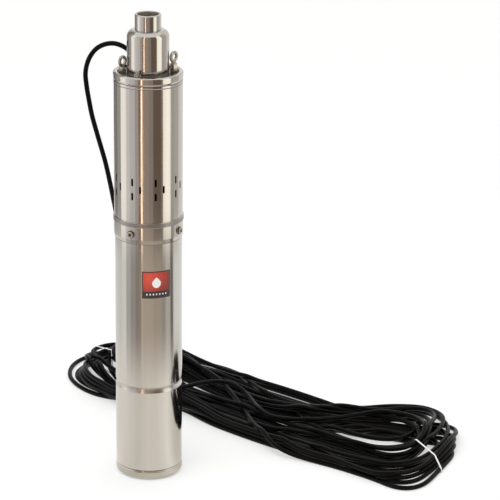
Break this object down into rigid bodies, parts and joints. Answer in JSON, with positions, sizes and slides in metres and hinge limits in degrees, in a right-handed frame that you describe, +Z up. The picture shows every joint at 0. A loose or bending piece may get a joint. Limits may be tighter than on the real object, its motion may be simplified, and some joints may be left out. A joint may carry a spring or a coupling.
{
  "type": "borehole submersible pump",
  "caption": "Slim upright stainless submersible pump: threaded outlet head, capped pump sleeve with intake slots, screwed joint collar and sealed motor, with its cable tied in a hank.",
  "frame": {"origin": "centre of the foot, on the floor", "axes": "+Z up along the pump's axis, -Y towards the picture's camera"},
  "size_m": [0.6149, 0.528, 0.69],
  "materials": {
    "polished_steel": "polished",
    "fastener_steel": "polished",
    "plain_steel": "satin",
    "rotor_chrome": "polished",
    "bearing_steel": "polished",
    "cage_plastic": "satin",
    "black_rubber": "matte",
    "cable_sheath": "satin",
    "cast_aluminium": "satin",
    "cast_iron": "matte",
    "lamination": "satin",
    "copper_winding": "satin",
    "seal_ceramic": "satin",
    "seal_carbon": "satin",
    "gland_brass": "satin",
    "wire_insulation": "satin",
    "capacitor_can": "satin",
    "chamber_plastic": "satin",
    "label_film": "gloss",
    "tie_nylon": "satin"
  },
  "bodies": {
    "pump_body": {"discharge_head": "polished_steel", "outlet_socket": "polished_steel", "head_flange": "polished_steel", "head_gasket": "black_rubber", "top_cap": "polished_steel", "pump_sleeve": "polished_steel", "stator_tube": "plain_steel", "rubber_stator": "black_rubber", "inlet_cage": "cast_iron", "tie_rods": "fastener_steel", "stud_nuts": "fastener_steel", "eye_left": "fastener_steel", "eye_right": "fastener_steel", "eye_lock_nut": "fastener_steel", "cable_grommet": "black_rubber", "inner_cable": "cable_sheath", "lead_gland": "gland_brass", "motor_leads": "wire_insulation", "upper_bracket": "cast_aluminium", "bearing_circlip": "plain_steel", "seal_seat": "seal_ceramic", "joint_collar": "polished_steel", "collar_screws": "fastener_steel", "collar_washers": "fastener_steel", "motor_casing": "polished_steel", "upper_o_ring": "black_rubber", "lower_o_ring": "black_rubber", "upper_outer_ring": "bearing_steel", "lower_outer_ring": "bearing_steel", "stator_core": "lamination", "stator_winding": "copper_winding", "lower_bracket": "cast_aluminium", "capacitor": "capacitor_can", "capacitor_leads": "wire_insulation", "chamber_plate": "chamber_plastic", "plate_ring": "plain_steel", "diaphragm": "black_rubber", "bottom_cap": "polished_steel", "rating_label": "label_film", "cable_lead": "cable_sheath", "cable_hank": "cable_sheath", "cable_ties": "tie_nylon"},
    "motor_rotor": {"motor_shaft": "plain_steel", "rotor_core": "lamination", "rotor_end_rings": "cast_aluminium", "drive_hub": "plain_steel", "sand_guard": "black_rubber", "seal_face": "seal_carbon", "seal_bellows": "black_rubber", "seal_spring": "plain_steel", "upper_inner_ring": "bearing_steel", "lower_inner_ring": "bearing_steel"},
    "coupling": {"coupling_rod": "plain_steel"},
    "screw": {"helical_rotor": "rotor_chrome"},
    "upper_ball_set": {"upper_balls": "bearing_steel", "upper_cage": "cage_plastic"},
    "lower_ball_set": {"lower_balls": "bearing_steel", "lower_cage": "cage_plastic"}
  },
  "joints": [
    {"name": "motor_spin", "type": "hinge", "parent": "pump_body", "child": "motor_rotor", "pos_m": [0, 0, 0.25], "axis": [0, 0, 1], "continuous": true},
    {"name": "rod_orbit", "type": "hinge", "parent": "pump_body", "child": "coupling", "pos_m": [0, 0, 0.424], "axis": [0, 0, 1], "continuous": true},
    {"name": "screw_spin", "type": "hinge", "parent": "coupling", "child": "screw", "pos_m": [0.0032, 0, 0.53], "axis": [0, 0, 1], "continuous": true},
    {"name": "upper_ball_spin", "type": "hinge", "parent": "pump_body", "child": "upper_ball_set", "pos_m": [0, 0, 0.3558], "axis": [0, 0, 1], "continuous": true},
    {"name": "lower_ball_spin", "type": "hinge", "parent": "pump_body", "child": "lower_ball_set", "pos_m": [0, 0, 0.144], "axis": [0, 0, 1], "continuous": true}
  ],
  "couplings": [
    {"joint": "rod_orbit", "follows": "motor_spin", "ratio": -1},
    {"joint": "screw_spin", "follows": "motor_spin", "ratio": 2},
    {"joint": "upper_ball_spin", "follows": "motor_spin", "ratio": 0.3816},
    {"joint": "lower_ball_spin", "follows": "motor_spin", "ratio": 0.3816}
  ]
}
